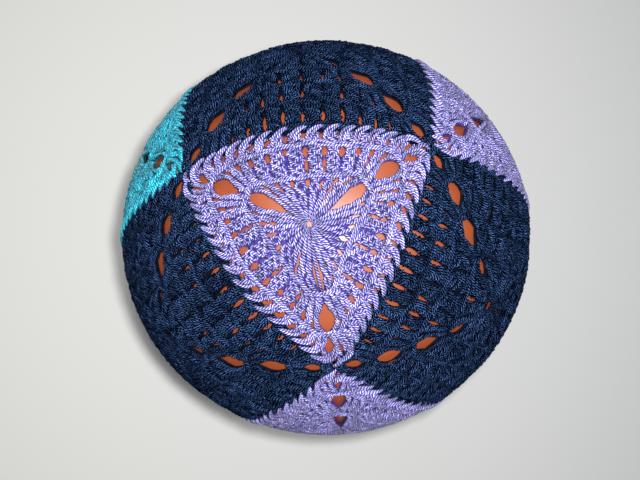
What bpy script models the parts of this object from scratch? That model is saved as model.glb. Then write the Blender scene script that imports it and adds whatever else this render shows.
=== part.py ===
"""A crocheted ball: eight three-sided and six four-sided motifs in yarn, sewn together over a smooth ball.

Metres, +Z up. The ball stands on its small flat spot at the origin, and the motif that faces up is tri_top.
The motif centres and corners are those of a cuboctahedron blown up to a ball.
"""
from collections import namedtuple
from itertools import combinations, product
from math import asin, atan2, cos, degrees, exp, pi, radians, sin

import bmesh
import bpy
from mathutils import Matrix, Vector

# Driving dimensions
MM = 0.001
BALL_RADIUS = 0.100          # to the top of a ridge of stitches, on the average of the three directions
CLOTH_THICKNESS = 0.0032     # doubled strands of crochet, from the core to the top of a ridge
STRETCH = Vector((1.018, 0.983, 0.990))  # the ball is a little wider than deep, and squats a little
SEAM_HALF_GAP = 0.00023      # from a seam's line to each motif's edge
CORE_GAP = 0.0003            # between the core and the flattest facet inside a motif
FLAT_SPOT_RADIUS = 0.0170    # deep enough to take the valleys between the rounds too
CORNER_TRIM = 0.0021         # the seams stop this far short of the point where four motifs meet

# How the cuboctahedron is turned: one corner of the top motif as seen from above, then its lean
TOP_CORNER_AZIMUTH = radians(35.8)
TOP_LEAN = radians(4.8)
TOP_LEAN_TOWARDS = radians(142.0)
# Of the motifs between the top and the bottom one, the turquoise pair lies nearest to this line
TURQUOISE_DIRECTION = Vector((-0.93, 0.36, 0.0))

# The cover was sewn by hand and isn't quite even. Each row is a place on the cover that is drawn aside: its
# direction from the centre, and how far it is drawn along X and Y (mm). The pull fades with distance.
Pull = namedtuple("Pull", "place along_x along_y")
PULLS = (
    Pull((-0.58, 0.28, 0.77), -1.0, -0.4),
    Pull((0.41, 0.38, 0.83), 2.7, -0.7),
    Pull((0.00, -0.53, 0.85), 2.6, -0.9),
    Pull((0.56, 0.05, 0.83), -6.5, 0.0),
    Pull((-0.11, 0.62, 0.78), 0.0, 5.5),
)
PULL_REACH = 0.38            # as a share of the ball's radius

# Seams run in an arc that bulges away from the three-sided motif
SEAM_BULGE = radians(2.6)
SEAM_COLUMNS = 5             # straight lengths in one seam
CORE_SEGMENTS = 32
CORE_RINGS = 16
FACET_SAG = 0.00120          # how far a facet's middle lies under the round surface

# The rounds of crochet, from the centre out. Each row is one ring of points around the motif: the number
# of columns on a side, the angle out from the centre at mid-side and at a corner (degrees), the width of
# the corner space and the height over the valleys (mm), and whether that space is open from here outwards.
Ring = namedtuple("Ring", "columns mid corner space height open")
TRIANGLE_RINGS = (
    Ring(2, 3.0, 5.0, 0.8, 0.0, True),
    Ring(2, 7.4, 11.4, 6.2, 0.3, True),
    Ring(2, 9.9, 14.6, 3.8, 0.8, False),
    Ring(3, 13.6, 17.6, 1.4, 0.0, True),
    Ring(3, 16.0, 21.4, 6.4, 0.3, True),
    Ring(3, 17.4, 24.4, 4.4, 0.8, False),
    Ring(4, 19.0, 27.5, 3.2, 0.0, True),
    Ring(4, 20.6, 30.8, 4.8, 0.5, False),
)
SQUARE_RINGS = (
    Ring(1, 3.4, 6.8, 0.9, 0.0, True),
    Ring(1, 8.0, 10.6, 4.8, 0.3, True),
    Ring(1, 11.2, 13.4, 2.8, 0.8, False),
    Ring(2, 14.3, 18.2, 1.0, 0.0, True),
    Ring(2, 16.4, 21.4, 5.8, 0.3, True),
    Ring(2, 18.2, 24.2, 3.0, 0.8, False),
    Ring(3, 20.8, 28.0, 1.0, 0.0, True),
    Ring(3, 23.2, 31.2, 6.0, 0.3, True),
    Ring(3, 25.0, 33.8, 3.2, 0.8, False),
    Ring(4, 27.8, 37.6, 1.0, 0.0, True),
    Ring(4, 29.8, 40.0, 4.4, 0.3, True),
    Ring(4, 31.3, 41.8, 2.8, 0.8, False),
)
RIDGE_HEIGHT = 0.8           # mm, the tallest ring's height over a valley
TRIANGLE_SEAM_HEIGHT = 1.1   # mm over the valleys: the whip stitches pile up on this side
SQUARE_SEAM_HEIGHT = 0.4     # mm over the valleys

# Colours of the yarns and the core
PURPLE = (0.235, 0.185, 0.640, 1.0)
TURQUOISE = (0.020, 0.340, 0.440, 1.0)
NAVY = (0.012, 0.030, 0.085, 1.0)
ORANGE = (0.720, 0.140, 0.035, 1.0)


def clear_scene():
    for obj in list(bpy.data.objects):
        bpy.data.objects.remove(obj, do_unlink=True)


def make_material(name, colour, roughness):
    material = bpy.data.materials.new(name)
    material.use_nodes = True
    shader = material.node_tree.nodes["Principled BSDF"]
    shader.inputs["Base Color"].default_value = colour
    shader.inputs["Roughness"].default_value = roughness
    shader.inputs["Metallic"].default_value = 0.0
    return material


def ball_turn():
    """The turn that brings the direction (1, 1, 1) to the top motif's place, with its corners in place."""
    up = Vector((1, 1, 1)).normalized()
    corner = Vector((1, 1, 0)).normalized()
    ahead = (corner - up * corner.dot(up)).normalized()
    side = up.cross(ahead)
    stand = Matrix((ahead, side, up))
    spin = Matrix.Rotation(TOP_CORNER_AZIMUTH, 3, "Z")
    lean_axis = Vector((-sin(TOP_LEAN_TOWARDS), cos(TOP_LEAN_TOWARDS), 0))
    return Matrix.Rotation(TOP_LEAN, 3, lean_axis) @ spin @ stand


def drawn_aside(direction):
    """Where the uneven sewing has drawn this direction to."""
    moved = direction.copy()
    for pull in PULLS:
        nearness = exp(-((direction - Vector(pull.place)).length / PULL_REACH) ** 2)
        moved += Vector((pull.along_x, pull.along_y, 0)) * nearness * MM / BALL_RADIUS
    return moved.normalized()


def ball_point(direction, height):
    """The point in this direction, at this height over the ridges, with the flat spot at z = 0."""
    point = direction.normalized() * (BALL_RADIUS + height)
    return Vector((point.x * STRETCH.x, point.y * STRETCH.y, point.z * STRETCH.z + FLOOR_TO_CENTRE))


def direction_of(point):
    """The direction from the ball's centre that ball_point would have come from."""
    x, y, z = point.x / STRETCH.x, point.y / STRETCH.y, (point.z - FLOOR_TO_CENTRE) / STRETCH.z
    return Vector((x, y, z)).normalized()


def flat_spot_depth():
    """How much of the round underside the flat spot takes away."""
    return (BALL_RADIUS - (BALL_RADIUS**2 - FLAT_SPOT_RADIUS**2) ** 0.5) * STRETCH.z


FLOOR_TO_CENTRE = BALL_RADIUS * STRETCH.z - flat_spot_depth()
TURN = ball_turn()


def corners_around(centre, corners):
    """A motif's corners in order, anticlockwise as seen from outside."""
    ahead = (corners[0] - centre * corners[0].dot(centre)).normalized()
    side = centre.cross(ahead)
    return sorted(corners, key=lambda corner: atan2(corner.dot(side), corner.dot(ahead)))


def cuboctahedron():
    """The motif centres with their corners: eight of three corners and six of four."""
    corners = []
    for plane in combinations(range(3), 2):
        for signs in product((1, -1), repeat=2):
            corner = [0, 0, 0]
            corner[plane[0]], corner[plane[1]] = signs
            corners.append((TURN @ Vector(corner)).normalized())
    triangles = []
    for signs in product((1, -1), repeat=3):
        centre = (TURN @ Vector(signs)).normalized()
        nearest = sorted(corners, key=lambda corner: -corner.dot(centre))[:3]
        triangles.append((centre, corners_around(centre, nearest)))
    squares = []
    for axis, sign in product(range(3), (1, -1)):
        centre = (TURN @ Vector([sign if i == axis else 0 for i in range(3)])).normalized()
        nearest = sorted(corners, key=lambda corner: -corner.dot(centre))[:4]
        squares.append((centre, corners_around(centre, nearest)))
    return triangles, squares


def seam_direction(start, end, along, triangle_centre):
    """A point of the seam between two corners, 0 to 1 along it, bulged away from the three-sided motif."""
    on_arc = start.slerp(end, along)
    bulge = SEAM_BULGE * 4 * along * (1 - along)
    axis = triangle_centre.cross(on_arc).normalized()
    return Matrix.Rotation(bulge, 3, axis) @ on_arc


def triangle_side_of(start, end, triangles):
    """The centre of the three-sided motif that has both of these corners."""
    return max((centre for centre, _ in triangles), key=lambda centre: centre.dot(start + end))


def seam_step(along):
    """Spaces the seam's points between the two trimmed ends."""
    trim = CORNER_TRIM / (BALL_RADIUS * pi / 3)
    return trim + along * (1 - 2 * trim)


class Motif:
    """One crocheted motif: where its centre and corners are, and the directions of its rings of points."""

    def __init__(self, centre, corners, rings, seam_height, triangles):
        self.centre = centre
        self.corners = corners
        self.rings = rings
        self.seam_height = seam_height
        self.triangles = triangles
        self.sides = len(corners)
        self.half_side = pi / self.sides

    def seam(self, side, along):
        start = self.corners[side]
        end = self.corners[(side + 1) % self.sides]
        # A seam is worked out from the same end for both of its motifs
        if tuple(start) > tuple(end):
            start, end, along = end, start, 1 - along
        return seam_direction(start, end, along, triangle_side_of(start, end, self.triangles))

    def polar(self, direction, side):
        """The angle out from the centre, and the turn from the middle of this side."""
        middle = self.seam(side, 0.5)
        ahead = (middle - self.centre * middle.dot(self.centre)).normalized()
        left = self.centre.cross(ahead)
        out = direction - self.centre * direction.dot(self.centre)
        return asin(min(1.0, out.length)), atan2(out.dot(left), out.dot(ahead))

    def from_polar(self, angle, turn, side):
        middle = self.seam(side, 0.5)
        ahead = (middle - self.centre * middle.dot(self.centre)).normalized()
        left = self.centre.cross(ahead)
        return self.centre * cos(angle) + (ahead * cos(turn) + left * sin(turn)) * sin(angle)

    def ring_directions(self, ring, side):
        """The points of one ring along one side, from corner space to corner space."""
        seam_mid, _ = self.polar(self.seam(side, 0.5), side)
        seam_corner, _ = self.polar(self.corners[side], side)
        corner_angle = radians(ring.corner)
        space_turn = ring.space / 2 * MM / (BALL_RADIUS * sin(corner_angle))
        found = []
        for column in range(ring.columns + 1):
            angle, turn = self.polar(self.seam(side, column / ring.columns), side)
            towards_corner = (angle - seam_mid) / (seam_corner - seam_mid)
            angle = radians(ring.mid) + (corner_angle - radians(ring.mid)) * towards_corner
            turn *= (self.half_side - space_turn) / self.half_side
            found.append(self.from_polar(angle, turn, side))
        return found

    def edge_directions(self, side):
        """The motif's own edge along one seam, half a gap inside it."""
        found = []
        for column in range(SEAM_COLUMNS + 1):
            angle, turn = self.polar(self.seam(side, seam_step(column / SEAM_COLUMNS)), side)
            found.append(self.from_polar(angle - SEAM_HALF_GAP / BALL_RADIUS, turn, side))
        return found


def add_band(mesh, inner, outer):
    """Faces between two rows of points: four-sided where the rows match, else three-sided in turn."""
    if len(inner) == len(outer):
        for step in range(len(inner) - 1):
            mesh.faces.new((inner[step], outer[step], outer[step + 1], inner[step + 1]))
        return
    near, far = 0, 0
    last_near = len(inner) - 1
    last_far = len(outer) - 1
    while near < last_near or far < last_far:
        outer_is_next = (far + 0.5) / last_far <= (near + 0.5) / last_near
        if near == last_near or (far < last_far and outer_is_next):
            mesh.faces.new((inner[near], outer[far], outer[far + 1]))
            far += 1
        else:
            mesh.faces.new((inner[near], outer[far], inner[near + 1]))
            near += 1


def add_points(mesh, directions, height):
    """Points over these directions, at a height in millimetres over the valleys between the rounds."""
    over_ridges = (height - RIDGE_HEIGHT) * MM
    return [mesh.verts.new(ball_point(drawn_aside(direction), over_ridges)) for direction in directions]


def motif_mesh(motif):
    """The motif as a closed shell: rings of points joined to a sheet, then given its thickness inwards."""
    mesh = bmesh.new()
    sides = range(motif.sides)
    rows = [[add_points(mesh, motif.ring_directions(ring, side), ring.height) for side in sides]
            for ring in motif.rings]
    rows.append([add_points(mesh, motif.edge_directions(side), motif.seam_height) for side in sides])

    for number, (inner, outer) in enumerate(zip(rows, rows[1:])):
        for side in sides:
            after = (side + 1) % motif.sides
            add_band(mesh, inner[side], outer[side])
            if not motif.rings[number].open:
                mesh.faces.new((inner[side][-1], outer[side][-1], outer[after][0], inner[after][0]))

    middle = add_points(mesh, [motif.centre], 0)[0]
    hub = [point for side in rows[0] for point in side]
    for point, following in zip(hub, hub[1:] + hub[:1]):
        mesh.faces.new((middle, point, following))

    extruded = bmesh.ops.extrude_face_region(mesh, geom=mesh.faces[:], use_keep_orig=True)
    for item in extruded["geom"]:
        if isinstance(item, bmesh.types.BMVert):
            item.co = ball_point(direction_of(item.co), -CLOTH_THICKNESS)
    bmesh.ops.recalc_face_normals(mesh, faces=mesh.faces)
    return mesh


def add_object(name, mesh, material):
    data = bpy.data.meshes.new(name)
    mesh.to_mesh(data)
    mesh.free()
    data.materials.append(material)
    obj = bpy.data.objects.new(name, data)
    bpy.context.scene.collection.objects.link(obj)
    return obj


def compass_name(centre):
    """A short place name for a motif: up or down, then its bearing in whole degrees."""
    bearing = round(degrees(atan2(centre.y, centre.x))) % 360
    level = "upper" if centre.z > 0 else "lower"
    return f"{level}_{bearing:03d}"


def add_flat_spot(motif_object):
    """Cuts the ball's flat spot into the motif that it stands on."""
    size = 4 * FLAT_SPOT_RADIUS
    mesh = bmesh.new()
    bmesh.ops.create_cube(mesh, size=size, matrix=Matrix.Translation((0, 0, -size / 2)))
    data = bpy.data.meshes.new("flat_spot_cutter")
    mesh.to_mesh(data)
    mesh.free()
    cutter = bpy.data.objects.new("flat_spot_cutter", data)
    bpy.context.scene.collection.objects.link(cutter)
    cutter.hide_render = True
    cutter.display_type = "WIRE"
    cut = motif_object.modifiers.new("flat spot", "BOOLEAN")
    cut.operation = "DIFFERENCE"
    cut.object = cutter


def add_core(material):
    """The smooth ball inside, as large as the facets of the motifs leave room for."""
    radius = BALL_RADIUS - CLOTH_THICKNESS - FACET_SAG - CORE_GAP
    place = Matrix.Translation((0, 0, FLOOR_TO_CENTRE)) @ Matrix.Diagonal((*STRETCH, 1))
    mesh = bmesh.new()
    bmesh.ops.create_uvsphere(
        mesh, u_segments=CORE_SEGMENTS, v_segments=CORE_RINGS, radius=radius, matrix=place)
    core = add_object("core", mesh, material)
    core.data.shade_smooth()


def main():
    clear_scene()
    purple = make_material("purple yarn", PURPLE, 0.75)
    turquoise = make_material("turquoise yarn", TURQUOISE, 0.75)
    navy = make_material("navy yarn", NAVY, 0.80)
    add_core(make_material("orange core", ORANGE, 0.35))

    triangles, squares = cuboctahedron()
    centres = sorted((centre for centre, _ in triangles), key=lambda centre: centre.z)
    bottom = centres[0]
    top = centres[-1]
    between = sorted(centres[1:-1], key=lambda centre: centre.dot(TURQUOISE_DIRECTION))
    turquoise_pair = (between[0], between[-1])
    for centre, corners in triangles:
        motif = Motif(centre, corners, TRIANGLE_RINGS, TRIANGLE_SEAM_HEIGHT, triangles)
        yarn = turquoise if centre in turquoise_pair else purple
        if centre == top:
            add_object("tri_top", motif_mesh(motif), yarn)
        elif centre == bottom:
            add_flat_spot(add_object("tri_bottom", motif_mesh(motif), yarn))
        else:
            add_object("tri_" + compass_name(centre), motif_mesh(motif), yarn)
    for centre, corners in squares:
        motif = Motif(centre, corners, SQUARE_RINGS, SQUARE_SEAM_HEIGHT, triangles)
        add_object("square_" + compass_name(centre), motif_mesh(motif), navy)


main()
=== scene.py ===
from collections import namedtuple
from itertools import combinations, product
from math import atan2, cos, degrees, pi, radians, sin

import bpy
import numpy as np
from mathutils import Matrix, Vector


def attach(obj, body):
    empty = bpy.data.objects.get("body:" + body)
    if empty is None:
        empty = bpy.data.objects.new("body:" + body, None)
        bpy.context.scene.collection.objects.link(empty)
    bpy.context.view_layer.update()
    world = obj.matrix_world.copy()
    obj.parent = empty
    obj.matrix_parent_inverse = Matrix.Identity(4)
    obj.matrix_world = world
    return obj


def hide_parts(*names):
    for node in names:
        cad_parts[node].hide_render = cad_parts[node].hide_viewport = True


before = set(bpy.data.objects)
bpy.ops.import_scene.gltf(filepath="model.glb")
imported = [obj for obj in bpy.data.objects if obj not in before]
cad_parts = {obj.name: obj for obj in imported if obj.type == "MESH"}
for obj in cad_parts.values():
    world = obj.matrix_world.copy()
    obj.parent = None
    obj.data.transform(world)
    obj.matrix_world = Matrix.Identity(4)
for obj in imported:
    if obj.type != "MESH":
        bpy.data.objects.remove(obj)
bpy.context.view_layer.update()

BODY = "root"
MM = 0.001
SEED = 14
RANDOM = np.random.default_rng(SEED)

# The ball has the same sizes and the same turn as its solids
BALL_RADIUS = 100.0          # mm, to the top of the stitches
CLOTH = 3.2                  # mm, from the core to the top of the stitches
CORE_GAP = 0.25              # mm, between the core and the lowest yarn
FLAT_SPOT_RADIUS = 17.0      # mm
STRETCH = np.array((1.018, 0.983, 0.990))
CENTRE_HEIGHT = (BALL_RADIUS**2 - FLAT_SPOT_RADIUS**2) ** 0.5 * STRETCH[2]
TOP_CORNER_AZIMUTH = radians(35.8)
TOP_LEAN = radians(4.8)
TOP_LEAN_TOWARDS = radians(142.0)
TURQUOISE_DIRECTION = Vector((-0.93, 0.36, 0.0))
SEAM_BULGE = radians(3.7)    # away from the three-sided motif
SEAM_STEPS = 41              # places along a side at which its line is worked out
TRIANGLE_TILT = radians(54.7356)   # from the middle of a four-sided motif to that of a three-sided one

# Places on the cover that the sewing draws aside: a direction, and how far along X and Y (mm)
Pull = namedtuple("Pull", "place along_x along_y")
PULLS = (
    Pull((-0.58, 0.28, 0.77), -1.0, -0.4),
    Pull((0.41, 0.38, 0.83), 2.7, -0.7),
    Pull((0.00, -0.53, 0.85), 2.6, -0.9),
    Pull((0.56, 0.05, 0.83), -6.5, 0.0),
    Pull((-0.11, 0.62, 0.78), 0.0, 5.5),
)
PULL_REACH = 0.38            # as a share of the ball's radius

# How the rounds wander inside a motif: two waves, mm
SWAY = 0.35
SWAY_LENGTH = 7.0
SHORT_SWAY_LENGTH = 4.1
SHORT_SWAY_SHARE = 0.7

# Half the gap that a motif's side leaves at its corner, mm, around the centre and at the sewn edge
CENTRE_SPACE = 0.5
EDGE_SPACE = 1.2

# Yarn, mm
STRAND = 0.72                # radius of one strand where it has room
THIN_STRAND = 0.36           # radius of one strand where it is squeezed
LINK_STRAND = 0.54           # radius of the strands along the top of a round
STRAND_SIDES = 5
PLIES = 3
PLY_SPACING = 1.20           # between the turns of the plies along a strand
BRAID_LENGTH = 9.5           # in which the strands of a stitch cross over and back
LOW = 1.15                   # heights of strand centres over the core
MIDDLE = 1.70
HIGH = 2.15
TOP = 2.55
SLIT_SPREAD = 0.25           # how unevenly the slits between stitches open
LOW_SHADE = 0.45             # painted shade: how light a strand at the bottom is, beside one at the top
CROWN_POWER = 0.8            # how quickly the painted shade darkens a strand from its crown to its underside

# How far the slits of the four-sided motifs that face up open, as a share of the usual width
SLIT_SHARES = {"square_upper_213": 0.62, "square_upper_098": 0.72, "square_upper_337": 0.95}
HIDDEN_SLIT_SHARE = 0.85

# One round of crochet: stitches on a side, strands in a tall stitch, points along a strand, how far out
# the row of loops on top lies (degrees from the centre, at mid-side and at a corner), half the corner
# space (mm), the places of the wraps along the stitch, the slits between stitches and the gap in the corner
Round = namedtuple("Round", "stitches strands points mid corner space wraps slits gap")

# A slit's place along the stitch and its half length (shares of its height), its width (mm), and the share
# of such slits that open
Slit = namedtuple("Slit", "at half width share")

# A corner gap's start, its widest place and its end along the stitch, and half its width (mm)
Gap = namedtuple("Gap", "start widest end half_width")


class Kind:
    """A kind of motif: its sides, its rounds, and its ring and edge (degrees)."""

    def __init__(self, sides, ring, edge_mid, edge_corner, rounds):
        self.sides = sides
        self.rounds = rounds
        self.half_side = pi / sides
        self.level = np.arange(len(rounds) + 2)
        self.mid = np.array([ring] + [one.mid for one in rounds] + [edge_mid])
        self.corner = np.array([ring] + [one.corner for one in rounds] + [edge_corner])
        self.space = np.array([CENTRE_SPACE] + [one.space for one in rounds] + [EDGE_SPACE])
        self.steps, self.turns, self.outs = self.seam_shape(radians(edge_corner))

    def seam_shape(self, corner_angle):
        """At steps along a side: the turn from mid-side, and the share of the corner's extra angle."""
        start = Vector((sin(corner_angle), 0, cos(corner_angle)))
        end = Matrix.Rotation(2 * self.half_side, 3, "Z") @ start
        triangle_centre = Vector((0, 0, 1))
        if self.sides == 4:
            aside = sin(TRIANGLE_TILT)
            ahead, left = aside * cos(self.half_side), aside * sin(self.half_side)
            triangle_centre = Vector((ahead, left, cos(TRIANGLE_TILT)))
        steps = np.linspace(0, 1, SEAM_STEPS)
        turns, angles = [], []
        for along in steps:
            on_arc = start.slerp(end, along)
            axis = triangle_centre.cross(on_arc).normalized()
            point = Matrix.Rotation(SEAM_BULGE * 4 * along * (1 - along), 3, axis) @ on_arc
            turns.append(atan2(point.y, point.x) - self.half_side)
            angles.append(np.arccos(point.z))
        angles = np.array(angles)
        middle = angles[len(steps) // 2]
        return steps * 2 - 1, np.array(turns), (angles - middle) / (corner_angle - middle)


TRIANGLE = Kind(3, 1.1, 20.9, 35.26, (
    Round(8, 2, 13, 10.0, 15.8, 4.6, (), (Slit(0.87, 0.10, 1.1, 0.7), Slit(0.64, 0.18, 0.7, 0.15)),
          Gap(0.26, 0.78, 0.96, 3.3)),
    Round(12, 3, 9, 17.7, 25.6, 4.6, (0.16,), (Slit(0.38, 0.18, 0.6, 0.4), Slit(0.81, 0.11, 2.1, 1.0)),
          Gap(0.26, 0.66, 0.92, 3.9)),
    Round(16, 3, 8, 20.8, 32.6, 3.6, (), (Slit(0.72, 0.28, 2.5, 1.0),), Gap(0.20, 0.50, 0.88, 2.4)),
))
SQUARE = Kind(4, 1.6, 33.84, 45.0, (
    Round(4, 4, 10, 11.0, 14.4, 3.4, (0.30, 0.60), (Slit(0.72, 0.22, 1.0, 0.3),),
          Gap(0.50, 0.78, 0.95, 2.2)),
    Round(8, 4, 9, 17.9, 25.1, 4.4, (), (Slit(0.60, 0.20, 1.05, 0.5),), Gap(0.26, 0.62, 0.92, 4.0)),
    Round(12, 5, 8, 24.6, 34.9, 4.4, (), (Slit(0.62, 0.22, 1.15, 0.75),), Gap(0.26, 0.62, 0.92, 4.3)),
    Round(16, 5, 8, 32.4, 43.1, 3.9, (), (Slit(0.58, 0.26, 1.35, 0.95),), Gap(0.35, 0.62, 0.92, 3.3)),
))
EDGE_LOOPS = 4.62            # a second row of loops, beside the sewing, in a square's levels
HOLE_LEVEL = 2.74            # the row of holes that the sewing goes through, in a triangle's levels
BEYOND_EDGE = 10.0           # degrees for each level past a motif's own edge


def deselect_all():
    """Leaves edit mode and selects nothing, so that the next new shape stands alone."""
    if bpy.context.object and bpy.context.object.mode != "OBJECT":
        bpy.ops.object.mode_set(mode="OBJECT")
    bpy.ops.object.select_all(action="DESELECT")


# Where the motifs lie

def ball_turn():
    """The turn that brings the direction (1, 1, 1) to the top motif's place, with its corners in place."""
    up = Vector((1, 1, 1)).normalized()
    corner = Vector((1, 1, 0)).normalized()
    ahead = (corner - up * corner.dot(up)).normalized()
    stand = Matrix((ahead, up.cross(ahead), up))
    spin = Matrix.Rotation(TOP_CORNER_AZIMUTH, 3, "Z")
    lean_axis = Vector((-sin(TOP_LEAN_TOWARDS), cos(TOP_LEAN_TOWARDS), 0))
    return Matrix.Rotation(TOP_LEAN, 3, lean_axis) @ spin @ stand


class Motif:
    """One motif: its node's name, its kind, and where its flat chart lies on the ball."""

    def __init__(self, name, kind, centre, corner):
        self.name = name
        self.kind = kind
        self.centre = centre
        ahead = (corner - centre * corner.dot(centre)).normalized()
        self.axes = np.array((ahead, centre.cross(ahead), centre))
        self.waves = RANDOM.uniform(0, 2 * pi, 4)
        self.slit_share = 1.0 if kind is TRIANGLE else SLIT_SHARES.get(name, HIDDEN_SLIT_SHARE)
        self.narrow_corner = self.front_corner() if name == "tri_top" else None

    def front_corner(self):
        """The corner nearest to the picture's lower edge, where the first gap is almost closed."""
        turns = 2 * pi * np.arange(self.kind.sides) / self.kind.sides
        ahead = np.cos(turns) * self.axes[0, 1] + np.sin(turns) * self.axes[1, 1]
        return int(np.argmin(ahead))

    def chart(self, side, along, level):
        """Points of the chart, mm: along is -1 to 1 between the corner spaces, and 2 at the corner."""
        kind = self.kind
        side, along, level = np.broadcast_arrays(side, along, np.asarray(level, float))
        over = np.maximum(level - kind.level[-1], 0) * BEYOND_EDGE
        mid = np.interp(level, kind.level, kind.mid) + over
        corner = np.interp(level, kind.level, kind.corner) + over
        space = np.interp(level, kind.level, kind.space) / (BALL_RADIUS * np.radians(corner))
        inside = np.clip(along, -1, 1)
        turn = np.interp(inside, kind.steps, kind.turns) * (kind.half_side - space) / kind.half_side
        turn = turn + np.sign(along) * np.clip(np.abs(along) - 1, 0, 1) * space
        out = mid + (corner - mid) * np.interp(inside, kind.steps, kind.outs)
        azimuth = turn + kind.half_side * (1 + 2 * side)
        reach = np.radians(out) * BALL_RADIUS
        flat = np.stack((reach * np.cos(azimuth), reach * np.sin(azimuth)), -1)
        # Rounds wander a little, less towards the sewn edge
        loose = np.clip(kind.level[-1] - level, 0, 1)[..., None]
        long_wave = np.sin(flat[..., ::-1] / SWAY_LENGTH + self.waves[:2])
        short_wave = np.sin(flat / SHORT_SWAY_LENGTH + self.waves[2:])
        return flat + SWAY * loose * (long_wave + SHORT_SWAY_SHARE * short_wave)

    def on_ball(self, flat, height):
        """Chart points at a height over the core, mm, brought to the ball, in metres."""
        reach = np.linalg.norm(flat, axis=-1)
        angle = reach / BALL_RADIUS
        unit = flat / np.maximum(reach, 1e-9)[..., None]
        local = np.stack((unit[..., 0] * np.sin(angle), unit[..., 1] * np.sin(angle), np.cos(angle)), -1)
        direction = local @ self.axes
        moved = direction.copy()
        for pull in PULLS:
            distance = np.linalg.norm(direction - np.array(pull.place), axis=-1)
            nearness = np.exp(-((distance / PULL_REACH) ** 2))[..., None]
            moved += nearness * np.array((pull.along_x, pull.along_y, 0)) / BALL_RADIUS
        moved /= np.linalg.norm(moved, axis=-1, keepdims=True)
        point = moved * (BALL_RADIUS - CLOTH + np.asarray(height)[..., None]) * STRETCH
        point[..., 2] += CENTRE_HEIGHT
        return point * MM


def motif_places():
    """All 14 motifs, named by how high they lie and by the bearing of their centres."""
    turn = ball_turn()
    corners = []
    for plane in combinations(range(3), 2):
        for signs in product((1, -1), repeat=2):
            corner = [0, 0, 0]
            corner[plane[0]], corner[plane[1]] = signs
            corners.append((turn @ Vector(corner)).normalized())
    centres = [((turn @ Vector(signs)).normalized(), TRIANGLE) for signs in product((1, -1), repeat=3)]
    for axis, sign in product(range(3), (1, -1)):
        centres.append(((turn @ Vector([sign if i == axis else 0 for i in range(3)])).normalized(), SQUARE))
    heights = sorted(centre.z for centre, kind in centres if kind is TRIANGLE)
    found = []
    for centre, kind in centres:
        corner = max(corners, key=lambda one: one.dot(centre))
        bearing = round(degrees(atan2(centre.y, centre.x))) % 360
        level = "upper" if centre.z > 0 else "lower"
        name = f"{'tri' if kind is TRIANGLE else 'square'}_{level}_{bearing:03d}"
        if kind is TRIANGLE and centre.z == heights[0]:
            name = "tri_bottom"
        if kind is TRIANGLE and centre.z == heights[-1]:
            name = "tri_top"
        found.append(Motif(name, kind, centre, corner))
    return found


# Yarn, as strands modelled once and laid along many paths

def model_strand(sections):
    """One straight length of yarn: a small disc drawn up once for each section, read back as arrays."""
    deselect_all()
    bpy.ops.mesh.primitive_circle_add(vertices=STRAND_SIDES, radius=1, fill_type="NGON")
    obj = bpy.context.object
    bpy.ops.object.mode_set(mode="EDIT")
    bpy.ops.mesh.select_all(action="SELECT")
    for _ in range(sections):
        bpy.ops.mesh.extrude_region_move(TRANSFORM_OT_translate={"value": (0, 0, 1)})
    bpy.ops.mesh.select_all(action="SELECT")
    bpy.ops.mesh.normals_make_consistent(inside=False)
    bpy.ops.object.mode_set(mode="OBJECT")
    data = obj.data
    co = np.array([v.co for v in data.vertices])
    ring = np.round(co[:, 2]).astype(int)
    around = np.arctan2(co[:, 1], co[:, 0])
    corners = np.array([loop.vertex_index for loop in data.loops])
    starts = np.array([face.loop_start for face in data.polygons])
    totals = np.array([face.loop_total for face in data.polygons])
    turn = np.mod(around[corners] / (2 * pi), 1.0)
    for start, total in zip(starts, totals):
        face = turn[start:start + total]
        if total == 4 and face.max() - face.min() > 0.5:
            face[face < 0.5] += 1.0
    bpy.data.objects.remove(obj, do_unlink=True)
    bpy.data.meshes.remove(data)
    return dict(ring=ring, around=around, corners=corners, starts=starts, totals=totals, turn=turn)


STRANDS = {}                 # the straight lengths modelled so far, by their number of sections


def strand_model(sections):
    """The straight length with this number of sections, modelled the first time it is asked for."""
    if sections not in STRANDS:
        STRANDS[sections] = model_strand(sections)
    return STRANDS[sections]


def strand_axes(path):
    """The directions across each strand and away from the ball, at each point of its path."""
    along = np.gradient(path, axis=1)
    along /= np.linalg.norm(along, axis=-1, keepdims=True)
    out = path - np.array((0, 0, CENTRE_HEIGHT * MM))
    out -= along * (out * along).sum(-1, keepdims=True)
    out /= np.linalg.norm(out, axis=-1, keepdims=True)
    return np.cross(along, out), out


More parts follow.
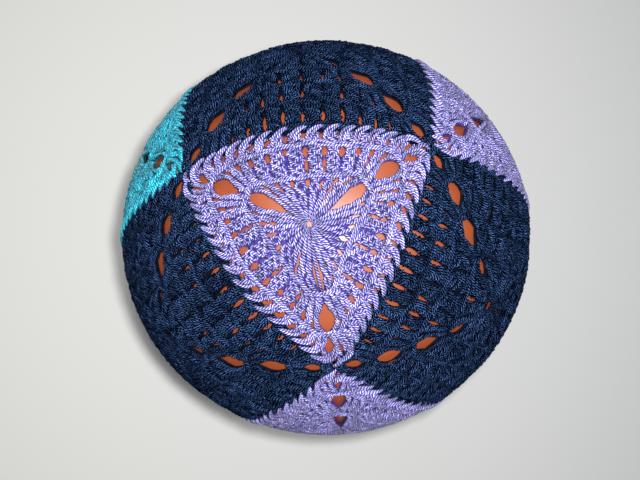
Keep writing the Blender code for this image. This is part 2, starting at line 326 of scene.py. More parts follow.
class Yarn:
    """Collects strands in a motif's chart, then lays them on the ball as one mesh."""

    def __init__(self, motif):
        self.motif = motif
        self.batches = []

    def add(self, flat, height, radius=STRAND):
        """flat is strands x points x 2 in the chart, height and radius strands x points."""
        height = np.broadcast_to(height, flat.shape[:2])
        radius = np.broadcast_to(radius, flat.shape[:2])
        self.batches.append((flat, height, radius))

    def lay(self, name):
        """The mesh, with a map along and around each strand, a tone for its colour, and painted shade that
        darkens its underside and the strands lying low.
        """
        points, loops, starts, totals, uvs, tones, painted_shades = [], [], [], [], [], [], []
        base = 0
        loop_base = 0
        for flat, height, radius in self.batches:
            count, rings = flat.shape[:2]
            model = strand_model(rings - 1)
            path = self.motif.on_ball(flat, height)
            path[..., 2] = np.maximum(path[..., 2], radius * MM)
            across, out = strand_axes(path)
            ring, around = model["ring"], model["around"]
            size = radius[:, ring, None] * MM
            spot = path[:, ring] + size * (np.cos(around)[None, :, None] * across[:, ring]
                                           + np.sin(around)[None, :, None] * out[:, ring])
            spot[..., 2] = np.maximum(spot[..., 2], 0.0)
            points.append(spot.reshape(-1, 3))
            verts = len(ring)
            offset = base + np.arange(count)[:, None] * verts
            loops.append((model["corners"][None] + offset).ravel())
            starts.append((model["starts"][None] + loop_base
                           + np.arange(count)[:, None] * len(model["corners"])).ravel())
            totals.append(np.tile(model["totals"], count))
            step = np.linalg.norm(np.diff(path, axis=1), axis=-1) / MM
            length = np.concatenate((np.zeros((count, 1)), np.cumsum(step, 1)), 1)
            length += RANDOM.uniform(0, PLY_SPACING, (count, 1))
            u = length[:, ring[model["corners"]]]
            v = np.broadcast_to(model["turn"], u.shape)
            uvs.append(np.stack((u, v), -1).reshape(-1, 2))
            tones.append(np.repeat(RANDOM.uniform(0, 1, count), verts))
            # Painted shade: each strand darker on its underside than on its crown, and darker low down than
            # on top
            painted_crown_light = np.clip(0.5 + 0.5 * np.sin(around), 0, 1)[None] ** CROWN_POWER
            painted_height_light = np.clip((height[:, ring] - LOW) / (TOP - LOW), 0, 1)
            painted_shades.append((painted_crown_light * (LOW_SHADE + (1 - LOW_SHADE) * painted_height_light)).ravel())
            base += count * verts
            loop_base += count * len(model["corners"])
        return make_mesh(name, points, loops, starts, totals, uvs, tones, painted_shades)


def make_mesh(name, points, loops, starts, totals, uvs, tones, painted_shades):
    """One mesh of all the strands, from the lists that Yarn.lay fills."""
    points, loops = np.concatenate(points), np.concatenate(loops)
    starts, totals = np.concatenate(starts), np.concatenate(totals)
    data = bpy.data.meshes.new(name)
    data.vertices.add(len(points))
    data.vertices.foreach_set("co", points.ravel())
    data.loops.add(len(loops))
    data.loops.foreach_set("vertex_index", loops.astype(np.int32))
    data.polygons.add(len(starts))
    data.polygons.foreach_set("loop_start", starts.astype(np.int32))
    data.polygons.foreach_set("loop_total", totals.astype(np.int32))
    data.update(calc_edges=True)
    layer = data.uv_layers.new(name="yarn")
    layer.data.foreach_set("uv", np.concatenate(uvs).ravel())
    for attribute, values in (("tone", tones), ("painted_shade", painted_shades)):
        data.attributes.new(attribute, "FLOAT", "POINT").data.foreach_set("value", np.concatenate(values))
    data.shade_smooth()
    obj = bpy.data.objects.new(name, data)
    bpy.context.scene.collection.objects.link(obj)
    return obj


# The stitches

NARROW_SHARE = 0.62          # of the usual gap, at the corner that is almost closed
STITCH_FOOT = -0.04          # where a tall stitch starts and ends, as shares of its round's width
STITCH_TOP = 1.02
GAP_TAIL = 0.08              # how far a corner gap narrows beyond its end, as a share of its round's width
NARROWEST_GAP = 0.1          # half the width of a corner gap where it is shut, mm
CORNER_FEET = (1.66, 1.25)   # where the two stitches next to a corner stand, from 2 at the corner
WIDEST_SLIT = 0.66           # as a share of the distance between two stitches
SLIT_NARROWS = ((0.55, 1.0), (1.0, 0.5))   # from mid-side to corner: places, and shares of the slit's width
FILL = 0.68                  # how much of a stitch's width its strands take up, laid side by side
BRAID_LIFT = 0.42            # mm, how far a strand rises and dips as it crosses the others

# How uneven the work is: standard deviations, mm
TOP_SHIFT = 0.20             # of the tops of tall stitches
GAP_EDGE_SHIFT = 0.12        # of the edges of a corner gap
STRAND_LIFT = 0.07           # of the height of a strand
LOOP_SHIFT = 0.28            # of the places of the loops on top
LOOP_BEND = 0.12             # of the strands in a loop
LOOP_LIFT = 0.15             # of the height of a loop
WRAP_LIFT = 0.08             # of the height of a wrap
WHIP_SHIFT = 0.15            # of the places of whip stitches
WHIP_LIFT = 0.08             # of the height of a whip strand
SLIT_SHIFT = 0.025           # of a slit along the stitch, as a share of its height
WRAP_SHIFT = 0.02            # of a wrap along the stitch, as a share of its height

# How uneven the work is: least and greatest, as shares of the usual measure
GAP_SIZES = (0.85, 1.12)
SLIT_LENGTHS = (0.85, 1.2)
BRAID_PACES = (0.85, 1.15)
BRAID_WIDTHS = (0.85, 1.1)
WRAP_SLANTS = (0.6, 1.4)

# The loose strand that crosses a gap: places between the centre and the first round, and heights
LONE_STRAND = ((0.15, LOW), (0.3, MIDDLE), (0.85, MIDDLE), (1.0, LOW))
LONE_STRAND_POINTS = 9

# A tall stitch from its foot to its top: places along it, and heights
STITCH_RISE = (
    (STITCH_FOOT, LOW),
    (0.12, MIDDLE),
    (0.30, HIGH),
    (0.80, HIGH),
    (0.92, MIDDLE),
    (STITCH_TOP, LOW),
)

# The turn of yarn over a tall stitch: shares of its width and of its height, and heights
WRAP_ACROSS = (-0.02, 0.18, 0.50, 0.82, 1.02)
WRAP_SLANT = np.array((-0.11, -0.08, 0.0, 0.08, 0.11))
WRAP_RISE = np.array((LOW, HIGH, TOP, HIGH, LOW))

# One of the two strands of a loop on top of a round: places along it, height from TOP and spread (mm)
LINK_STEPS = np.array((0.0, 0.22, 0.50, 0.78, 1.0))
LINK_RISE = np.array((-0.75, -0.15, 0.05, -0.10, -1.0))
LINK_SPREAD = np.array((0.05, 0.32, 0.55, 0.62, 0.50))
LINK_SUNK = 0.25             # how much lower the loops of the four-sided motifs lie, mm
LINK_STARTS_BEFORE = 0.6     # how far a loop reaches back under the last one and on under the next, mm
LINK_ENDS_AFTER = 1.2


def lone_strand(yarn):
    """The single loose strand that crosses the almost closed gap lengthwise."""
    motif = yarn.motif
    places, heights = zip(*LONE_STRAND)
    along = np.linspace(places[0], places[-1], LONE_STRAND_POINTS)
    flat = motif.chart(motif.narrow_corner, np.full(len(along), -2.0), along)
    height = np.interp(along, places, heights)
    yarn.add(flat[None], height[None], STRAND)


def steps_along(one):
    """The places along a tall stitch at which its strands are drawn, from its foot to its top."""
    return np.linspace(STITCH_FOOT, STITCH_TOP, one.points)


def gap_opening(one):
    """Half the width of a corner gap at each step along the stitches beside it, mm."""
    gap, steps = one.gap, steps_along(one)
    rise = np.clip((steps - gap.start) / (gap.widest - gap.start), 0, 1)
    fall = np.clip((gap.end + GAP_TAIL - steps) / (gap.end + GAP_TAIL - gap.widest), 0, 1)
    return gap.half_width * np.where(steps < gap.widest, rise ** 0.8, np.sqrt(fall))


def slit_widths(motif, one, steps):
    """How wide the slit between each two stitches of a side is at each step, mm. Some stay shut."""
    column = (one.stitches - 1, 1)
    from_middle = np.abs(np.linspace(-1, 1, one.stitches - 1))[:, None]
    opening = np.zeros((one.stitches - 1, len(steps)))
    for slit in one.slits:
        place = slit.at + RANDOM.normal(0, SLIT_SHIFT, column)
        half = slit.half * motif.slit_share * RANDOM.uniform(*SLIT_LENGTHS, column)
        width = slit.width * motif.slit_share * RANDOM.uniform(1 - SLIT_SPREAD, 1 + SLIT_SPREAD, column)
        width = width * (RANDOM.uniform(0, 1, column) < slit.share)
        width = width * np.interp(from_middle, *SLIT_NARROWS)
        opening += width * np.clip(1 - ((steps[None] - place) / half) ** 2, 0, 1) ** 0.7
    return opening


def post_edges(motif, number, side):
    """The left and right edges of the tall stitches on one side of a round, and the slits between them."""
    kind = motif.kind
    one = kind.rounds[number]
    count = one.stitches
    steps = steps_along(one)
    tops = motif.chart(side, np.linspace(-1, 1, count), number + 1)
    tops = tops + RANDOM.normal(0, TOP_SHIFT, tops.shape)
    if number == 0:
        feet = motif.chart(side, np.linspace(-1, 1, count), 0)
    else:
        in_corner = np.array(CORNER_FEET)
        along_foot = np.concatenate((-in_corner, np.linspace(-1, 1, count - 4), in_corner[::-1]))
        feet = motif.chart(side, along_foot, number)
    centre = feet[:, None] + (tops - feet)[:, None] * steps[None, :, None]
    step = centre[1:] - centre[:-1]
    pitch = np.linalg.norm(step, axis=-1, keepdims=True)
    unit = step / np.maximum(pitch, 1e-6)
    opening = slit_widths(motif, one, steps)
    opening = np.minimum(opening[..., None], WIDEST_SLIT * pitch)
    middle = (centre[1:] + centre[:-1]) / 2
    corner_edges = []
    for sign in (-1, 1):
        diagonal = motif.chart(side, np.full(len(steps), 2.0 * sign), number + np.clip(steps, 0, 1))
        azimuth = kind.half_side * (2 * side + 1 + sign)
        around = np.array((-sin(azimuth), cos(azimuth)))
        half_gap = gap_opening(one) * RANDOM.uniform(*GAP_SIZES)
        if number == 0 and (side + (sign > 0)) % kind.sides == motif.narrow_corner:
            half_gap = half_gap * NARROW_SHARE
        shift = RANDOM.normal(0, GAP_EDGE_SHIFT, len(steps)) * (half_gap > 0.3)
        half_gap = np.maximum(half_gap + shift, NARROWEST_GAP)
        corner_edges.append((diagonal - sign * around * half_gap[:, None])[None])
    left = np.concatenate((corner_edges[0], middle + unit * opening / 2))
    right = np.concatenate((middle - unit * opening / 2, corner_edges[1]))
    return left, right, opening[..., 0]


def tall_stitches(yarn, number, left, right):
    """The strands of each tall stitch, twisted or braided over each other, tucked under at foot and top."""
    one = yarn.motif.kind.rounds[number]
    steps = steps_along(one)
    count = len(left)
    width = np.linalg.norm(right - left, axis=-1)
    radius = np.clip(FILL * width / one.strands, THIN_STRAND, STRAND)
    swing = np.clip(0.5 - 0.85 * radius / np.maximum(width, 0.01), 0.05, 0.5)
    middle = (left + right) / 2
    length = np.linalg.norm(middle[:, -1] - middle[:, 0], axis=-1)[:, None]
    height = np.interp(steps, *zip(*STITCH_RISE))
    phase = RANDOM.uniform(0, 2 * pi, (count, 1))
    pace = 2 * pi * length / BRAID_LENGTH * RANDOM.uniform(*BRAID_PACES, (count, 1))
    for strand in range(one.strands):
        turn = pace * steps[None] + phase + strand * 2 * pi / one.strands
        across = 0.5 + swing * np.sin(turn) * RANDOM.uniform(*BRAID_WIDTHS, (count, 1))
        flat = left + (right - left) * across[..., None]
        over = np.cos(turn) if one.strands == 2 else np.sin(2 * turn)
        lift = BRAID_LIFT * over * np.clip(radius / STRAND, 0.4, 1)
        lift = lift + RANDOM.normal(0, STRAND_LIFT, turn.shape)
        yarn.add(flat, height[None] + lift, radius)


def edge_point(edge, steps, at):
    """The points of these edges at a place along each of them."""
    points = []
    for place, line in zip(at, edge):
        points.append([np.interp(place, steps, line[:, axis]) for axis in (0, 1)])
    return np.array(points)


def wraps(yarn, steps, left, right, start):
    """The turn of yarn that slants over each tall stitch."""
    slant = WRAP_SLANT * RANDOM.uniform(*WRAP_SLANTS, (len(left), 1))
    forward = start + slant + RANDOM.normal(0, WRAP_SHIFT, (len(left), 1))
    points = []
    for number, share in enumerate(WRAP_ACROSS):
        low = edge_point(left, steps, forward[:, number])
        high = edge_point(right, steps, forward[:, number])
        points.append(low + (high - low) * share)
    height = WRAP_RISE[None] + RANDOM.normal(0, WRAP_LIFT, (len(left), 1))
    yarn.add(np.stack(points, 1), height, LINK_STRAND)


def along_line(start, end, across, forward):
    """Points measured off a line: across in mm, forward as a share of its length."""
    line = end - start
    length = np.linalg.norm(line, axis=-1, keepdims=True)
    left = np.stack((-line[..., 1], line[..., 0]), -1) / np.maximum(length, 1e-9)
    across, forward = np.asarray(across), np.asarray(forward)
    return start[:, None] + line[:, None] * forward[None, :, None] + left[:, None] * across[None, :, None]


def top_links(yarn, level, count):
    """The row of loops along the top of a round, each a V that opens over the next."""
    motif = yarn.motif
    points = []
    for side in range(motif.kind.sides):
        points.append(motif.chart(side, np.linspace(-1, 1, count), level))
        points.append(motif.chart(side, np.array([1.5, 2.0]), level))
        points.append(motif.chart((side + 1) % motif.kind.sides, np.array([-1.5]), level))
    points = np.concatenate(points)
    points = points + RANDOM.normal(0, LOOP_SHIFT, points.shape)
    line = np.roll(points, -1, axis=0) - points
    length = np.linalg.norm(line, axis=-1, keepdims=True)
    unit = line / length
    start = points - unit * LINK_STARTS_BEFORE
    end = points + line + unit * LINK_ENDS_AFTER
    height = TOP + LINK_RISE - LINK_SUNK * (motif.kind is SQUARE)
    for sign in (-1, 1):
        flat = along_line(start, end, sign * LINK_SPREAD, LINK_STEPS)
        flat = flat + RANDOM.normal(0, LOOP_BEND, flat.shape)
        yarn.add(flat, height[None] + RANDOM.normal(0, LOOP_LIFT, (len(start), 1)), LINK_STRAND)


# A whip stitch runs from inside the motif, beside one hole, to past the seam. Each row is a place along
# it: how far outward and how far anticlockwise of the hole, its height, the radius of its two strands and
# how far each of them lies from their middle line (mm)
WhipPlace = namedtuple("WhipPlace", "outward anticlockwise height radius spread")
WHIP = WhipPlace(*np.array((
    (-3.2, 5.2, 1.50, 0.54, 0.60),
    (-1.6, 5.0, 2.40, 0.64, 0.78),
    (0.1, 4.5, 3.05, 0.66, 0.84),
    (1.4, 3.2, 3.30, 0.62, 0.68),
    (2.5, 1.7, 3.25, 0.56, 0.52),
    (3.5, 0.2, 2.80, 0.46, 0.34),
    (4.4, -1.2, 1.90, 0.28, 0.10),
)).T)
CORNER_WHIP = 0.60           # how long the stitch at a corner is, beside the others
CORNER_RISE = 0.42           # how much further out, in levels, the hole at the very corner is
NUDGE = 0.02                 # a small step along a side, to find which way it runs


def sewing(yarn):
    """The whip stitches: pairs of strands that slant over the seam and dip into the next motif's edge."""
    motif = yarn.motif
    count = motif.kind.rounds[-1].stitches
    pitch = 2 / (count - 1)
    corner = -2.0
    at = np.concatenate(((corner,), np.linspace(-1 - pitch / 2, 1 + pitch / 2, count + 1)))
    level = HOLE_LEVEL + CORNER_RISE * np.clip(np.abs(at) - 1, 0, 1)
    share = np.where(at == corner, CORNER_WHIP, 1.0)[:, None, None]
    for side in range(motif.kind.sides):
        hole = motif.chart(side, at, level)
        turned = motif.chart(side, at + NUDGE, level) - motif.chart(side, at - NUDGE, level)
        turned = (turned / np.linalg.norm(turned, axis=-1, keepdims=True))[:, None]
        outward = np.stack((turned[..., 1], -turned[..., 0]), -1)
        path = outward * WHIP.outward[None, :, None] + turned * WHIP.anticlockwise[None, :, None]
        path = hole[:, None] + share * path
        path = path + RANDOM.normal(0, WHIP_SHIFT, (len(at), 1, 2))
        ahead = np.gradient(path, axis=1)
        ahead /= np.linalg.norm(ahead, axis=-1, keepdims=True)
        beside = np.stack((-ahead[..., 1], ahead[..., 0]), -1)
        for sign in (-1, 1):
            flat = path + sign * share * beside * WHIP.spread[None, :, None]
            lift = RANDOM.normal(0, WHIP_LIFT, (len(at), 1))
            yarn.add(flat, WHIP.height[None] + lift, WHIP.radius[None])


# The under-layer of each motif, one band of cloth for each round: the yarn seen deep between the stitches,
# coloured with painted shade

BASE_HEIGHT = 0.45           # of its underside over the core, mm
BASE_THICKNESS = 0.45        # mm
BASE_TUCK = 0.45             # how far the band stays back from a slit's edge, under the strands, mm
BASE_STEP = 0.05             # how much higher every second band lies, mm
EDGE_BAND_WIDTH = 1.02       # of the ring of cloth next to the seam, in levels
EDGE_BAND_REACH = 1.9        # how far towards the corner it goes on each side, where 2 is the corner
EDGE_BAND_COLUMNS = 25       # on each side
WELD = 0.00002               # how close two points are that become one, m


def base_band(motif, number, sides):
    """A ring of cloth under one round, with its slits and corner spaces left open."""
    rows = motif.kind.rounds[number].points
    points, open_cells = [], []
    for left, right, slit in sides:
        inner = (right - left) / np.maximum(np.linalg.norm(right - left, axis=-1, keepdims=True), 1e-6)
        tuck = BASE_TUCK * (np.pad(slit, ((1, 0), (0, 0))) > 0)
        tuck_after = BASE_TUCK * (np.pad(slit, ((0, 1), (0, 0))) > 0)
        for post in range(len(left)):
            points.append(left[post] + inner[post] * tuck[post][:, None])
            points.append(right[post] - inner[post] * tuck_after[post][:, None])
            open_cells.append(np.zeros(rows - 1, bool))
            if post < len(left) - 1:
                open_cells.append((slit[post][1:] > 0) | (slit[post][:-1] > 0))
            else:
                gap = gap_opening(motif.kind.rounds[number])
                open_cells.append((gap[1:] > 0) | (gap[:-1] > 0))
    columns = len(points)
    deselect_all()
    bpy.ops.mesh.primitive_grid_add(x_subdivisions=columns, y_subdivisions=rows - 1, size=1)
    band = bpy.context.object
    data = band.data
    flat = np.stack(points + points[:1], 1)
    height = np.full(flat.shape[:2], BASE_HEIGHT + BASE_THICKNESS + BASE_STEP * (number % 2))
    place = motif.on_ball(flat, height)
    data.vertices.foreach_set("co", place.reshape(-1))
    gaps = np.stack(open_cells, 1).reshape(-1)
    data.vertices.foreach_set("select", np.zeros(len(data.vertices), bool))
    data.edges.foreach_set("select", np.zeros(len(data.edges), bool))
    data.polygons.foreach_set("select", gaps)
    bpy.context.tool_settings.mesh_select_mode = (False, False, True)
    bpy.ops.object.mode_set(mode="EDIT")
    bpy.ops.mesh.delete(type="FACE")
    bpy.ops.object.mode_set(mode="OBJECT")
    return thicken_band(band)


def edge_band(motif):
    """The narrow ring of cloth between the last round and the seam."""
    kind = motif.kind
    last = kind.level[-1]
    along = np.linspace(-EDGE_BAND_REACH, EDGE_BAND_REACH, EDGE_BAND_COLUMNS)
    levels = (last - EDGE_BAND_WIDTH, last - 0.5, last)
    rows = []
    for level in levels:
        rows.append(np.concatenate([motif.chart(side, along, level) for side in range(kind.sides)]))
    flat = np.stack(rows)
    deselect_all()
    columns = flat.shape[1]
    bpy.ops.mesh.primitive_grid_add(x_subdivisions=columns, y_subdivisions=len(levels) - 1, size=1)
    band = bpy.context.object
    flat = np.concatenate((flat, flat[:, :1]), 1)
    height = np.full(flat.shape[:2], BASE_HEIGHT + BASE_THICKNESS + 2 * BASE_STEP)
    place = motif.on_ball(flat, height)
    band.data.vertices.foreach_set("co", place.reshape(-1))
    return thicken_band(band)


def thicken_band(band):
    """Closes a band's ends on each other, turns its faces outwards and gives it its thickness inwards."""
    data = band.data
    bpy.ops.object.mode_set(mode="EDIT")
    bpy.ops.mesh.select_all(action="SELECT")
    bpy.ops.mesh.remove_doubles(threshold=WELD)
    bpy.ops.mesh.dissolve_degenerate(threshold=WELD / 2)
    bpy.ops.mesh.select_all(action="SELECT")
    bpy.ops.mesh.normals_make_consistent(inside=False)
    bpy.ops.object.mode_set(mode="OBJECT")
    first = data.polygons[0]
    if first.normal.dot(first.center - Vector((0, 0, CENTRE_HEIGHT * MM))) < 0:
        data.flip_normals()
    wall = band.modifiers.new("thickness", "SOLIDIFY")
    wall.thickness = BASE_THICKNESS * MM
    wall.offset = -1
    bpy.ops.object.modifier_apply(modifier=wall.name)
    return band


def join_bands(bands, name):
    """One mesh of all the bands of a motif's under-layer."""
    deselect_all()
    for band in bands:
        band.select_set(True)
    bpy.context.view_layer.objects.active = bands[0]
    bpy.ops.object.join()
    base = bpy.context.object
    base.name = name
    base.data.shade_smooth()
    return base


def crochet(motif, sewn):
    """All the yarn of one motif, and its under-layer."""
    yarn = Yarn(motif)
    bands = []
    for number, one in enumerate(motif.kind.rounds):
        sides = []
        for side in range(motif.kind.sides):
            left, right, slit = post_edges(motif, number, side)
            tall_stitches(yarn, number, left, right)
            for place in one.wraps:
                wraps(yarn, steps_along(one), left, right, place)
            sides.append((left, right, slit))
        bands.append(base_band(motif, number, sides))
        if not sewn or number < len(motif.kind.rounds) - 1:
            top_links(yarn, number + 1, one.stitches)
    if sewn:
        sewing(yarn)
    else:
        bands.append(edge_band(motif))
        top_links(yarn, EDGE_LOOPS, motif.kind.rounds[-1].stitches)
    if motif.narrow_corner is not None:
        lone_strand(yarn)
    return yarn.lay(motif.name + "_yarn"), join_bands(bands, motif.name + "_base")


# Finishes

# The look of a yarn: the colour in the plies' grooves (painted shade), on their sides and on their crests
# (a painted highlight), how far up the side the second one is reached, how dark and how light single
# strands are, how light the painted shade leaves a strand at the bottom, its roughness and gloss, and its
# darker colour deep between the stitches, painted shade on the under-layer
Look = namedtuple("Look", "groove side crest side_at strands bottom roughness gloss shade")
LOOKS = {
    "purple": Look((0.056, 0.038, 0.32), (0.150, 0.118, 0.59), (0.72, 0.71, 0.85),
                   0.62, (0.65, 1.20), 0.32, 0.45, 0.12, (0.060, 0.042, 0.27)),
    "navy": Look((0.0002, 0.0010, 0.006), (0.0006, 0.0026, 0.014), (0.074, 0.150, 0.36),
                 0.80, (0.30, 1.50), 0.10, 0.6, 0.0, (0.0014, 0.0040, 0.015)),
    "turquoise": Look((0.001, 0.24, 0.37), (0.002, 0.46, 0.68), (0.13, 0.80, 0.92),
                      0.62, (0.65, 1.20), 0.20, 0.45, 0.15, (0.003, 0.12, 0.17)),
}
GROOVE_END = 0.08            # how far up a ply the groove's painted shade goes
TOP_LIGHT = 1.18             # how light the painted light makes a strand at the top
FUZZ = (0.45, 1.50)          # how dark and how light the fibres make a patch
FUZZ_SCALE = 420
PLY_DEPTH = 0.00016          # m
SHADE_RANGE = (0.35, 1.2)    # how dark and how light the under-layer's colour gets
SHADE_SCALE = 900
CORE_COLOURS = ((0.290, 0.054, 0.014), (0.355, 0.076, 0.020))
CORE_SCALE = 60


def new_finish(name):
    """A material of this name, with its node tree and its shader."""
    material = bpy.data.materials.new(name)
    material.use_nodes = True
    tree = material.node_tree
    return material, tree, tree.nodes["Principled BSDF"]


def ply_nodes(tree):
    """The turns of the plies, from the yarn's own map: 0 in a groove, 1 on a crest."""
    nodes, links = tree.nodes, tree.links
    uv = nodes.new("ShaderNodeUVMap")
    uv.uv_map = "yarn"
    split = nodes.new("ShaderNodeSeparateXYZ")
    links.new(uv.outputs["UV"], split.inputs[0])
    along = nodes.new("ShaderNodeMath")
    along.operation = "MULTIPLY"
    along.inputs[1].default_value = 2 * pi / PLY_SPACING
    links.new(split.outputs["X"], along.inputs[0])
    phase = nodes.new("ShaderNodeMath")
    phase.operation = "MULTIPLY_ADD"
    phase.inputs[1].default_value = -2 * pi * PLIES
    links.new(split.outputs["Y"], phase.inputs[0])
    links.new(along.outputs[0], phase.inputs[2])
    wave = nodes.new("ShaderNodeMath")
    wave.operation = "SINE"
    links.new(phase.outputs[0], wave.inputs[0])
    crest = nodes.new("ShaderNodeMapRange")
    crest.inputs["From Min"].default_value = -1
    links.new(wave.outputs[0], crest.inputs["Value"])
    return crest.outputs["Result"]


def attribute_range(tree, name, low, high):
    """One of the mesh's own values, 0 to 1, brought to this range."""
    nodes, links = tree.nodes, tree.links
    source = nodes.new("ShaderNodeAttribute")
    source.attribute_name = name
    level = nodes.new("ShaderNodeMapRange")
    level.inputs["To Min"].default_value = low
    level.inputs["To Max"].default_value = high
    links.new(source.outputs["Fac"], level.inputs["Value"])
    return level.outputs["Result"]


def multiply_colour(tree, colour, factor):
    """A colour made darker or lighter by a factor."""
    nodes, links = tree.nodes, tree.links
    mix = nodes.new("ShaderNodeMix")
    mix.data_type = "RGBA"
    mix.blend_type = "MULTIPLY"
    mix.inputs["Factor"].default_value = 1.0
    links.new(colour, mix.inputs["A"])
    links.new(factor, mix.inputs["B"])
    return mix.outputs["Result"]


def fuzz_nodes(tree):
    """Uneven brightness from loose fibres, in patches about as long as a turn of the plies."""
    nodes, links = tree.nodes, tree.links
    place = nodes.new("ShaderNodeTexCoord")
    noise = nodes.new("ShaderNodeTexNoise")
    noise.inputs["Scale"].default_value = FUZZ_SCALE
    noise.inputs["Detail"].default_value = 3
    links.new(place.outputs["Object"], noise.inputs["Vector"])
    level = nodes.new("ShaderNodeMapRange")
    level.inputs["From Min"].default_value = 0.3
    level.inputs["From Max"].default_value = 0.7
    level.inputs["To Min"].default_value = FUZZ[0]
    level.inputs["To Max"].default_value = FUZZ[1]
    links.new(noise.outputs["Fac"], level.inputs["Value"])
    return level.outputs["Result"]


def yarn_finish(name, look):
    """Plied yarn: painted shade in the plies' grooves, on the strands' undersides and low down between
    strands, and painted highlights on the plies' crests.
    """
    material, tree, shader = new_finish(name)
    nodes, links = tree.nodes, tree.links
    ply = ply_nodes(tree)
    # Painted shade in the grooves and a painted highlight on the crests, around the yarn's own colour on
    # the plies' sides
    ramp = nodes.new("ShaderNodeValToRGB")
    ramp.color_ramp.elements[0].color = (*look.groove, 1)
    ramp.color_ramp.elements[0].position = GROOVE_END
    ramp.color_ramp.elements[1].color = (*look.crest, 1)
    middle = ramp.color_ramp.elements.new(look.side_at)
    middle.color = (*look.side, 1)
    links.new(ply, ramp.inputs["Fac"])
    shade = multiply_colour(tree, ramp.outputs["Color"], attribute_range(tree, "tone", *look.strands))
    shade = multiply_colour(tree, shade, fuzz_nodes(tree))
    # Painted shade from the mesh's own values: darker on the undersides and low down
    shade = multiply_colour(tree, shade, attribute_range(tree, "painted_shade", look.bottom, TOP_LIGHT))
    links.new(shade, shader.inputs["Base Color"])
    bump = nodes.new("ShaderNodeBump")
    bump.inputs["Strength"].default_value = 1.0
    bump.inputs["Distance"].default_value = PLY_DEPTH
    links.new(ply, bump.inputs["Height"])
    links.new(bump.outputs["Normal"], shader.inputs["Normal"])
    shader.inputs["Roughness"].default_value = look.roughness
    shader.inputs["Specular IOR Level"].default_value = look.gloss
    shader.inputs["Sheen Weight"].default_value = look.gloss * 0.6
    shader.inputs["Sheen Roughness"].default_value = 0.4
    return material


def base_finish(name, colour):
    """The yarn seen deep between the stitches: a darker copy of its colour as painted shade, a little
    mottled.
    """
    material, tree, shader = new_finish(name)
    nodes, links = tree.nodes, tree.links
    place = nodes.new("ShaderNodeTexCoord")
    mottle = nodes.new("ShaderNodeTexNoise")
    mottle.inputs["Scale"].default_value = SHADE_SCALE
    links.new(place.outputs["Object"], mottle.inputs["Vector"])
    ramp = nodes.new("ShaderNodeValToRGB")
    ramp.color_ramp.elements[0].position = 0.35
    ramp.color_ramp.elements[1].position = 0.65
    for element, share in zip(ramp.color_ramp.elements, SHADE_RANGE):
        element.color = (*[value * share for value in colour], 1)
    links.new(mottle.outputs["Fac"], ramp.inputs["Fac"])
    links.new(ramp.outputs["Color"], shader.inputs["Base Color"])
    bump = nodes.new("ShaderNodeBump")
    bump.inputs["Strength"].default_value = 0.6
    bump.inputs["Distance"].default_value = 0.0002
    links.new(mottle.outputs["Fac"], bump.inputs["Height"])
    links.new(bump.outputs["Normal"], shader.inputs["Normal"])
    shader.inputs["Roughness"].default_value = 0.85
    shader.inputs["Specular IOR Level"].default_value = 0.1
    return material


def core_finish():
    """The glossy orange core, a little uneven in colour."""
    material, tree, shader = new_finish("stretched orange rubber")
    nodes, links = tree.nodes, tree.links
    place = nodes.new("ShaderNodeTexCoord")
    mottle = nodes.new("ShaderNodeTexNoise")
    mottle.inputs["Scale"].default_value = CORE_SCALE
    mottle.inputs["Detail"].default_value = 4
    links.new(place.outputs["Object"], mottle.inputs["Vector"])
    ramp = nodes.new("ShaderNodeValToRGB")
    ramp.color_ramp.elements[0].position = 0.3
    ramp.color_ramp.elements[1].position = 0.7
    for element, colour in zip(ramp.color_ramp.elements, CORE_COLOURS):
        element.color = (*colour, 1)
    links.new(mottle.outputs["Fac"], ramp.inputs["Fac"])
    links.new(ramp.outputs["Color"], shader.inputs["Base Color"])
    shader.inputs["Roughness"].default_value = 0.48
    shader.inputs["Specular IOR Level"].default_value = 0.8
    shader.inputs["Coat Weight"].default_value = 0.35
    shader.inputs["Coat Roughness"].default_value = 0.22
    return material


def inflate_core(finish):
    """The smooth core: a fine ball with the same oval as its solid, standing at the same height."""
    deselect_all()
    radius = (BALL_RADIUS - CLOTH - CORE_GAP) * MM
    bpy.ops.mesh.primitive_uv_sphere_add(segments=96, ring_count=48, radius=radius)
    core = bpy.context.object
    core.name = "core_skin"
    core.scale = tuple(STRETCH)
    core.location.z = CENTRE_HEIGHT * MM
    bpy.ops.object.transform_apply(location=True, rotation=True, scale=True)
    bpy.ops.object.shade_smooth()
    core.data.materials.clear()
    core.data.materials.append(finish)
    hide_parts("core")
    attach(core, BODY)


# Camera, light and floor, metres and watts

SENSOR_WIDTH = 36            # mm
LENS = 41.0                  # mm
CAMERA_PLACE = (-0.0030, -0.0012)
CAMERA_RISE = 0.3757         # over the ball's centre
Lamp = namedtuple("Lamp", "name place size power")
LAMPS = (
    Lamp("key", (0.40, 0.34, 2.2), 0.16, 13),
    Lamp("flash", (0.013, 0.011, 0.47), 0.022, 1.45),
)
LAMP_AIM = (0, 0, 0.1)
ROOM_COLOUR = (0.95, 0.97, 1.0)
ROOM_LIGHT = 0.21
FLOOR_SIZE = 6
FLOOR_COLOURS_WITH_PAINTED_FALLOFF = ((0.845, 0.845, 0.80), (0.64, 0.64, 0.64))   # at the left and at the right of the picture: the pale floor with a painted light falloff
FLOOR_REACH = 0.21           # from the middle to where these colours are reached


def set_camera():
    """Looks straight down from above, with the ball a little right of and over the picture's middle."""
    data = bpy.data.cameras.new("camera")
    data.sensor_width = SENSOR_WIDTH
    data.lens = LENS
    camera = bpy.data.objects.new("camera", data)
    bpy.context.scene.collection.objects.link(camera)
    camera.location = (*CAMERA_PLACE, CENTRE_HEIGHT * MM + CAMERA_RISE)
    bpy.context.scene.camera = camera


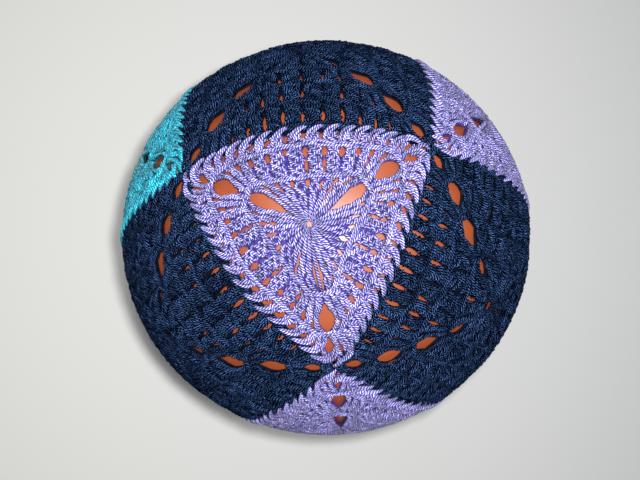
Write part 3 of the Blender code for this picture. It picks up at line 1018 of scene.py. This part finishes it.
def add_light(lamp):
    """A round lamp that shines at the ball."""
    data = bpy.data.lights.new(lamp.name, "AREA")
    data.shape = "DISK"
    data.size = lamp.size
    data.energy = lamp.power
    light = bpy.data.objects.new(lamp.name, data)
    bpy.context.scene.collection.objects.link(light)
    light.location = lamp.place
    light.rotation_euler = (Vector(LAMP_AIM) - Vector(lamp.place)).to_track_quat("-Z", "Y").to_euler()


def set_stage():
    """The floor, with a painted light falloff that darkens it from left to right, the light of the room and
    the lamps.
    """
    deselect_all()
    bpy.ops.mesh.primitive_plane_add(size=FLOOR_SIZE)
    floor = bpy.context.object
    floor.name = "floor"
    material, tree, shader = new_finish("pale floor")
    nodes, links = tree.nodes, tree.links
    place = nodes.new("ShaderNodeTexCoord")
    split = nodes.new("ShaderNodeSeparateXYZ")
    links.new(place.outputs["Object"], split.inputs[0])
    across = nodes.new("ShaderNodeMapRange")
    across.inputs["From Min"].default_value = -FLOOR_REACH
    across.inputs["From Max"].default_value = FLOOR_REACH
    links.new(split.outputs["X"], across.inputs["Value"])
    # Painted light falloff: the floor lighter at the left, darker at the right
    ramp = nodes.new("ShaderNodeValToRGB")
    for element, colour in zip(ramp.color_ramp.elements, FLOOR_COLOURS_WITH_PAINTED_FALLOFF):
        element.color = (*colour, 1)
    links.new(across.outputs["Result"], ramp.inputs["Fac"])
    links.new(ramp.outputs["Color"], shader.inputs["Base Color"])
    shader.inputs["Roughness"].default_value = 0.8
    floor.data.materials.append(material)
    room = bpy.data.worlds.new("room")
    room.use_nodes = True
    background = room.node_tree.nodes["Background"]
    background.inputs["Color"].default_value = (*ROOM_COLOUR, 1)
    background.inputs["Strength"].default_value = ROOM_LIGHT
    bpy.context.scene.world = room
    for lamp in LAMPS:
        add_light(lamp)
    bpy.context.scene.view_settings.view_transform = "Standard"


set_camera()
set_stage()
inflate_core(core_finish())
FINISHES = {colour: yarn_finish(colour + " yarn", look) for colour, look in LOOKS.items()}
# The under-layer's finishes: darker copies of the yarns' colours, painted shade
PAINTED_SHADE_BASE_FINISHES = {
    colour: base_finish(colour + " yarn in painted shade", look.shade) for colour, look in LOOKS.items()
}

# Six three-sided motifs lie around the ball. The one at the left and the one opposite it are turquoise
MOTIFS = motif_places()
belt = [one for one in MOTIFS if one.kind is TRIANGLE and one.name not in ("tri_top", "tri_bottom")]
belt.sort(key=lambda one: one.centre.dot(TURQUOISE_DIRECTION))
TURQUOISE = (belt[0], belt[-1])
for motif in MOTIFS:
    colour = "navy" if motif.kind is SQUARE else "turquoise" if motif in TURQUOISE else "purple"
    yarn, base = crochet(motif, motif.kind is TRIANGLE)
    yarn.data.materials.append(FINISHES[colour])
    base.data.materials.clear()
    base.data.materials.append(PAINTED_SHADE_BASE_FINISHES[colour])
    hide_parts(motif.name)
    for piece in (yarn, base):
        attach(piece, BODY)
